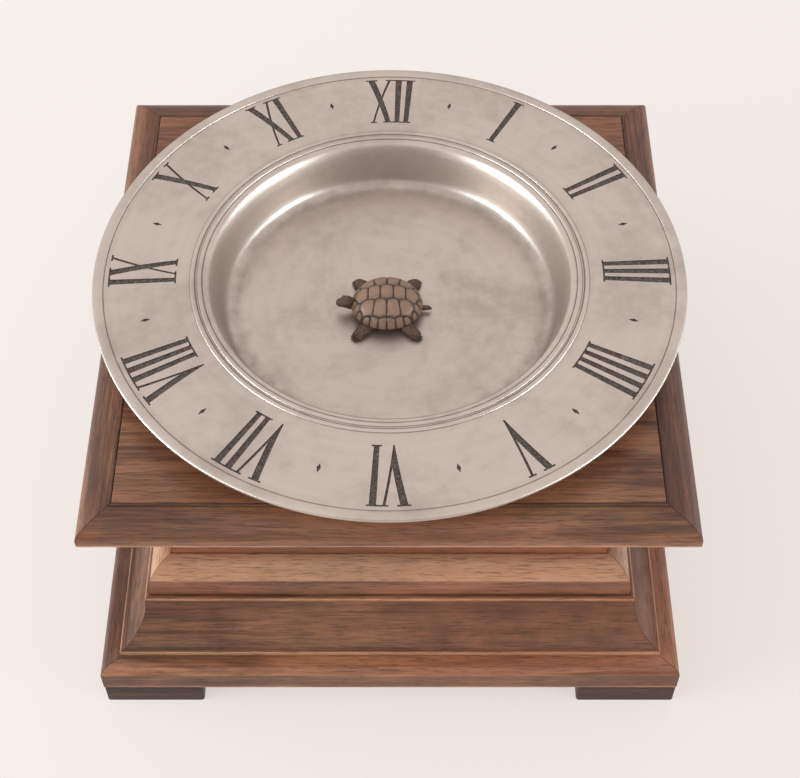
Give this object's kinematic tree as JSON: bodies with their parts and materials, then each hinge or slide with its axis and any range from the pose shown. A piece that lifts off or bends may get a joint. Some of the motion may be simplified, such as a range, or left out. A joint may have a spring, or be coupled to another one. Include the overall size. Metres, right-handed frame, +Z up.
{
  "type": "mystery clock",
  "caption": "Tortoise mystery clock: pewter dish with Roman numerals on a moulded square walnut case, a turtle in the dish led round by a magnet on a hidden spring movement",
  "frame": {"origin": "the middle of the clock's footprint, on the table", "axes": "+Z up out of the dish, -Y the front with VI on the dish, +Y the back with XII, +X the side with III"},
  "size_m": [0.303, 0.303, 0.1767],
  "materials": {
    "walnut": "satin polish",
    "dark_walnut": "satin polish",
    "pewter": "polished and engraved",
    "turtle": "painted",
    "brass": "polished",
    "steel": "polished",
    "blued_steel": "heat blued",
    "magnet": "nickel plated"
  },
  "bodies": {
    "case": {"foot_front_left": "dark_walnut", "foot_front_right": "dark_walnut", "foot_back_right": "dark_walnut", "foot_back_left": "dark_walnut", "plinth_rail_front": "walnut", "plinth_rail_right": "walnut", "plinth_rail_back": "walnut", "plinth_rail_left": "walnut", "bottom_board": "walnut", "wall_front": "walnut", "wall_right": "walnut", "wall_back": "walnut", "wall_left": "walnut", "base_moulding_front": "walnut", "base_moulding_right": "walnut", "base_moulding_back": "walnut", "base_moulding_left": "walnut", "cove_moulding_front": "walnut", "cove_moulding_right": "walnut", "cove_moulding_back": "walnut", "cove_moulding_left": "walnut", "top_moulding_front": "walnut", "top_moulding_right": "walnut", "top_moulding_back": "walnut", "top_moulding_left": "walnut", "top_board": "walnut", "seat_board": "walnut", "top_plate": "brass", "bottom_plate": "brass", "pillar_1": "brass", "pillar_2": "brass", "pillar_3": "brass", "pillar_4": "brass", "balance_cock": "brass", "click_spring": "blued_steel", "hairspring": "blued_steel"},
    "dish": {"dish": "pewter"},
    "turtle": {"turtle_body": "turtle", "turtle_shell": "turtle", "turtle_magnet": "magnet"},
    "hour_rotor": {"hour_wheel": "brass", "magnet_arm": "brass", "drive_magnet": "magnet"},
    "minute_wheel": {"minute_wheel": "brass"},
    "centre_arbor": {"centre_arbor": "steel", "set_knob": "brass"},
    "centre_wheel": {"centre_wheel": "brass"},
    "third_wheel": {"third_wheel": "brass"},
    "fourth_wheel": {"fourth_wheel": "brass"},
    "escape_wheel": {"escape_wheel": "brass"},
    "barrel": {"barrel": "brass", "mainspring": "steel"},
    "winding": {"winding_arbor": "steel", "ratchet_wheel": "steel", "winding_key": "steel"},
    "lever": {"pallet_lever": "steel"},
    "balance": {"balance_wheel": "brass"},
    "click": {"click": "steel"}
  },
  "joints": [
    {"name": "dish_lift", "type": "slide", "parent": "case", "child": "dish", "axis": [0, 0, 1], "range_m": [0, 0.03]},
    {"name": "turtle_turn", "type": "hinge", "parent": "dish", "child": "turtle", "pos_m": [0, 0, 0.1512], "axis": [0, 0, -1], "continuous": true},
    {"name": "hour_turn", "type": "hinge", "parent": "case", "child": "hour_rotor", "pos_m": [0, 0, 0.1426], "axis": [0, 0, -1], "continuous": true},
    {"name": "minute_wheel_turn", "type": "hinge", "parent": "case", "child": "minute_wheel", "pos_m": [0.01691, -0.00616, 0.1294], "axis": [0, 0, -1], "continuous": true},
    {"name": "centre_arbor_turn", "type": "hinge", "parent": "case", "child": "centre_arbor", "pos_m": [0, 0, 0.1114], "axis": [0, 0, -1], "continuous": true},
    {"name": "barrel_turn", "type": "hinge", "parent": "case", "child": "barrel", "pos_m": [0, -0.0336, 0.1081], "axis": [0, 0, 1], "continuous": true},
    {"name": "centre_wheel_turn", "type": "hinge", "parent": "case", "child": "centre_wheel", "pos_m": [0, 0, 0.1204], "axis": [0, 0, 1], "continuous": true},
    {"name": "third_wheel_turn", "type": "hinge", "parent": "case", "child": "third_wheel", "pos_m": [0.02212, 0.01549, 0.1094], "axis": [0, 0, 1], "continuous": true},
    {"name": "fourth_wheel_turn", "type": "hinge", "parent": "case", "child": "fourth_wheel", "pos_m": [0.00454, 0.03024, 0.1144], "axis": [0, 0, 1], "continuous": true},
    {"name": "escape_wheel_turn", "type": "hinge", "parent": "case", "child": "escape_wheel", "pos_m": [-0.01673, 0.02649, 0.1054], "axis": [0, 0, 1], "continuous": true},
    {"name": "winding_turn", "type": "hinge", "parent": "case", "child": "winding", "pos_m": [0, -0.0336, 0.0708], "axis": [0, 0, 1], "range_deg": [0, 1800]},
    {"name": "lever_rock", "type": "hinge", "parent": "case", "child": "lever", "pos_m": [-0.02763, 0.01886, 0.1054], "axis": [0, 0, 1], "range_deg": [-6, 6]},
    {"name": "balance_swing", "type": "hinge", "parent": "case", "child": "balance", "pos_m": [-0.03992, 0.01026, 0.0882], "axis": [0, 0, 1], "range_deg": [-150, 150], "stiffness_Nm_per_rad": 0.00022, "deforming": ["hairspring"]},
    {"name": "click_lift", "type": "hinge", "parent": "case", "child": "click", "pos_m": [0.01456, -0.0283, 0.0925], "axis": [0, 0, -1], "range_deg": [0, 12], "stiffness_Nm_per_rad": 0.0002, "springref_deg": -11.46, "deforming": ["click_spring"]}
  ],
  "couplings": [
    {"joint": "turtle_turn", "follows": "hour_turn", "ratio": 1},
    {"joint": "minute_wheel_turn", "follows": "hour_turn", "ratio": -4},
    {"joint": "centre_arbor_turn", "follows": "hour_turn", "ratio": 12},
    {"joint": "centre_wheel_turn", "follows": "barrel_turn", "ratio": -6},
    {"joint": "third_wheel_turn", "follows": "barrel_turn", "ratio": 48},
    {"joint": "fourth_wheel_turn", "follows": "barrel_turn", "ratio": -360},
    {"joint": "escape_wheel_turn", "follows": "barrel_turn", "ratio": 2880}
  ]
}
